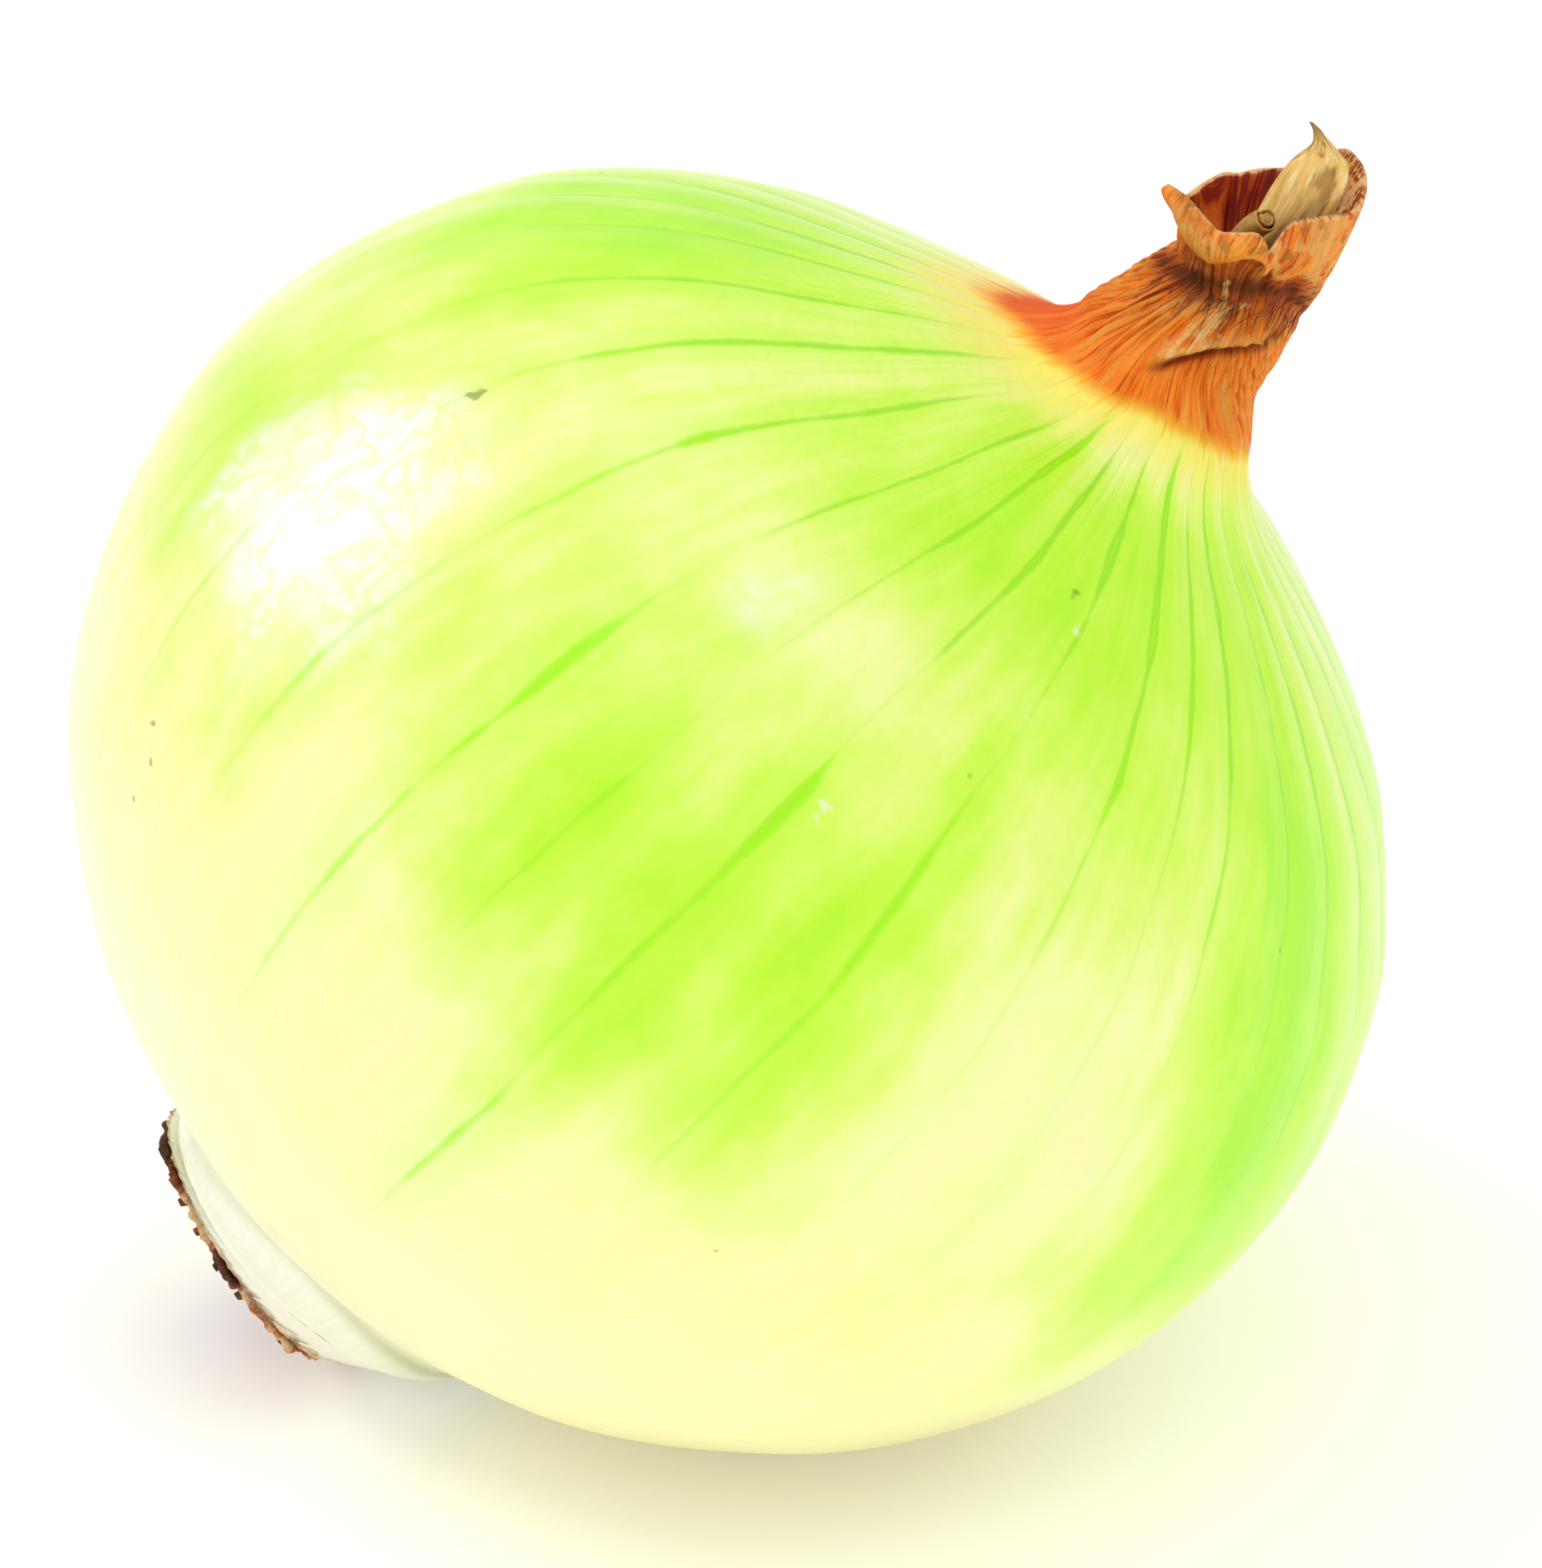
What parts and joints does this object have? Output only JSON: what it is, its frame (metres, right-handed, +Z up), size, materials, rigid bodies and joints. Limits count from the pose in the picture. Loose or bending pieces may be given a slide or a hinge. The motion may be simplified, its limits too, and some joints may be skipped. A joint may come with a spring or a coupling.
{
  "type": "peeled onion",
  "caption": "Whole onion peeled to its fleshy green scale, with a dried neck and torn open mouth at one end and a root plate with short root stubs at the other, lying on a small flat.",
  "frame": {"origin": "on the floor, under the middle of the onion's overall box", "axes": "+Z up from the surface it lies on; the onion's own axis lies in the XZ plane, root toward -X and neck leaning 40.65 degrees from +Z toward +X"},
  "size_m": [0.0774, 0.08, 0.0799],
  "materials": {
    "flesh": "satin",
    "dry_skin": "satin",
    "pale_leaf": "matte",
    "core_leaf": "matte",
    "plate_cream": "matte",
    "root_brown": "matte"
  },
  "bodies": {
    "root": {"bulb": "flesh", "neck_sheath": "dry_skin", "inner_leaf": "pale_leaf", "core_leaf": "core_leaf", "basal_plate": "plate_cream", "root_crown": "root_brown"}
  },
  "joints": []
}
